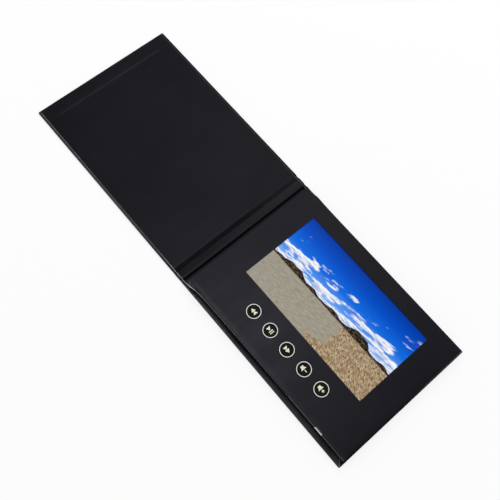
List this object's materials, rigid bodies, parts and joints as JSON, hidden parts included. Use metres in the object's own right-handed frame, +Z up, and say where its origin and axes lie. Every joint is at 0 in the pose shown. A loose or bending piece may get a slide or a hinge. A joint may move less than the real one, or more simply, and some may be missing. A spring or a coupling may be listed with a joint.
{
  "type": "lcd video brochure",
  "caption": "Hard-cover video brochure lying open flat: a thin front cover folds over a display block with a picture window, a row of round keys and a charging socket.",
  "frame": {"origin": "bottom centre of the open brochure's bounding box, midway between the two folds", "axes": "+X along the open brochure towards the display block's outer end, +Y towards the top of the displayed picture, +Z up out of the covers' inner faces"},
  "size_m": [0.4476, 0.1578, 0.011],
  "materials": {
    "grey_board": "uncoated grey board",
    "wrap_paper": "black printed paper with matt lamination",
    "liner_paper": "black printed paper with matt lamination",
    "block_card": "black card",
    "adhesive": "double-sided tape",
    "foam": "soft light filler sheet",
    "panel_steel": "folded sheet steel",
    "white_plastic": "moulded white plastic",
    "panel_glass": "display glass with a lit picture",
    "circuit_board": "green solder mask",
    "chip_plastic": "moulded black plastic",
    "ribbon_film": "amber film",
    "switch_steel": "bright pressed steel",
    "socket_steel": "bright plated steel",
    "battery_foil": "silver pouch foil",
    "lead_rubber": "insulated copper leads",
    "magnet_metal": "nickel-plated magnet",
    "cone_paper": "pressed paper",
    "reed_glass": "glass capsule",
    "key_plastic": "black moulded plastic with a satin top",
    "legend_print": "pale printed ring and symbol"
  },
  "bodies": {
    "back_cover": {"back_cover_board": "grey_board", "back_cover_wrap": "wrap_paper", "block_adhesive": "adhesive", "block_base": "block_card", "block_wall": "block_card", "face_card": "block_card", "face_sheet": "liner_paper", "lower_foam": "foam", "upper_foam": "foam", "panel_frame": "panel_steel", "panel_backlight": "white_plastic", "panel_glass": "panel_glass", "panel_tape": "adhesive", "main_board": "circuit_board", "processor": "chip_plastic", "memory_chip": "chip_plastic", "small_components": "chip_plastic", "ribbon_socket": "white_plastic", "panel_ribbon": "ribbon_film", "key_board": "circuit_board", "key_ribbon": "ribbon_film", "tact_switches": "switch_steel", "usb_shell": "socket_steel", "usb_tongue": "chip_plastic", "battery": "battery_foil", "lead_plugs": "white_plastic", "battery_leads": "lead_rubber", "speaker_leads": "lead_rubber", "speaker_frame": "chip_plastic", "speaker_magnet": "magnet_metal", "speaker_cone": "cone_paper", "reed_switch": "reed_glass", "reed_leads": "socket_steel"},
    "spine": {"spine_board": "grey_board", "spine_wrap": "wrap_paper", "spine_liner": "liner_paper"},
    "front_cover": {"front_cover_board": "grey_board", "front_cover_wrap": "wrap_paper", "front_cover_liner": "liner_paper", "cover_magnet": "magnet_metal"},
    "rewind_button": {"rewind_key": "key_plastic", "rewind_legend": "legend_print", "rewind_plunger": "white_plastic"},
    "play_button": {"play_key": "key_plastic", "play_legend": "legend_print", "play_plunger": "white_plastic"},
    "forward_button": {"forward_key": "key_plastic", "forward_legend": "legend_print", "forward_plunger": "white_plastic"},
    "quieter_button": {"quieter_key": "key_plastic", "quieter_legend": "legend_print", "quieter_plunger": "white_plastic"},
    "louder_button": {"louder_key": "key_plastic", "louder_legend": "legend_print", "louder_plunger": "white_plastic"}
  },
  "joints": [
    {"name": "spine_fold", "type": "hinge", "parent": "back_cover", "child": "spine", "pos_m": [0.00585, 0, 0.001], "axis": [0, 1, 0], "range_deg": [0, 90]},
    {"name": "cover_fold", "type": "hinge", "parent": "spine", "child": "front_cover", "pos_m": [-0.00585, 0, 0.001], "axis": [0, 1, 0], "range_deg": [0, 90]},
    {"name": "rewind_press", "type": "slide", "parent": "back_cover", "child": "rewind_button", "axis": [0, 0, -1], "range_m": [0, 0.0004], "stiffness_N_per_m": 2000, "springref_m": -0.0003},
    {"name": "play_press", "type": "slide", "parent": "back_cover", "child": "play_button", "axis": [0, 0, -1], "range_m": [0, 0.0004], "stiffness_N_per_m": 2000, "springref_m": -0.0003},
    {"name": "forward_press", "type": "slide", "parent": "back_cover", "child": "forward_button", "axis": [0, 0, -1], "range_m": [0, 0.0004], "stiffness_N_per_m": 2000, "springref_m": -0.0003},
    {"name": "quieter_press", "type": "slide", "parent": "back_cover", "child": "quieter_button", "axis": [0, 0, -1], "range_m": [0, 0.0004], "stiffness_N_per_m": 2000, "springref_m": -0.0003},
    {"name": "louder_press", "type": "slide", "parent": "back_cover", "child": "louder_button", "axis": [0, 0, -1], "range_m": [0, 0.0004], "stiffness_N_per_m": 2000, "springref_m": -0.0003}
  ]
}
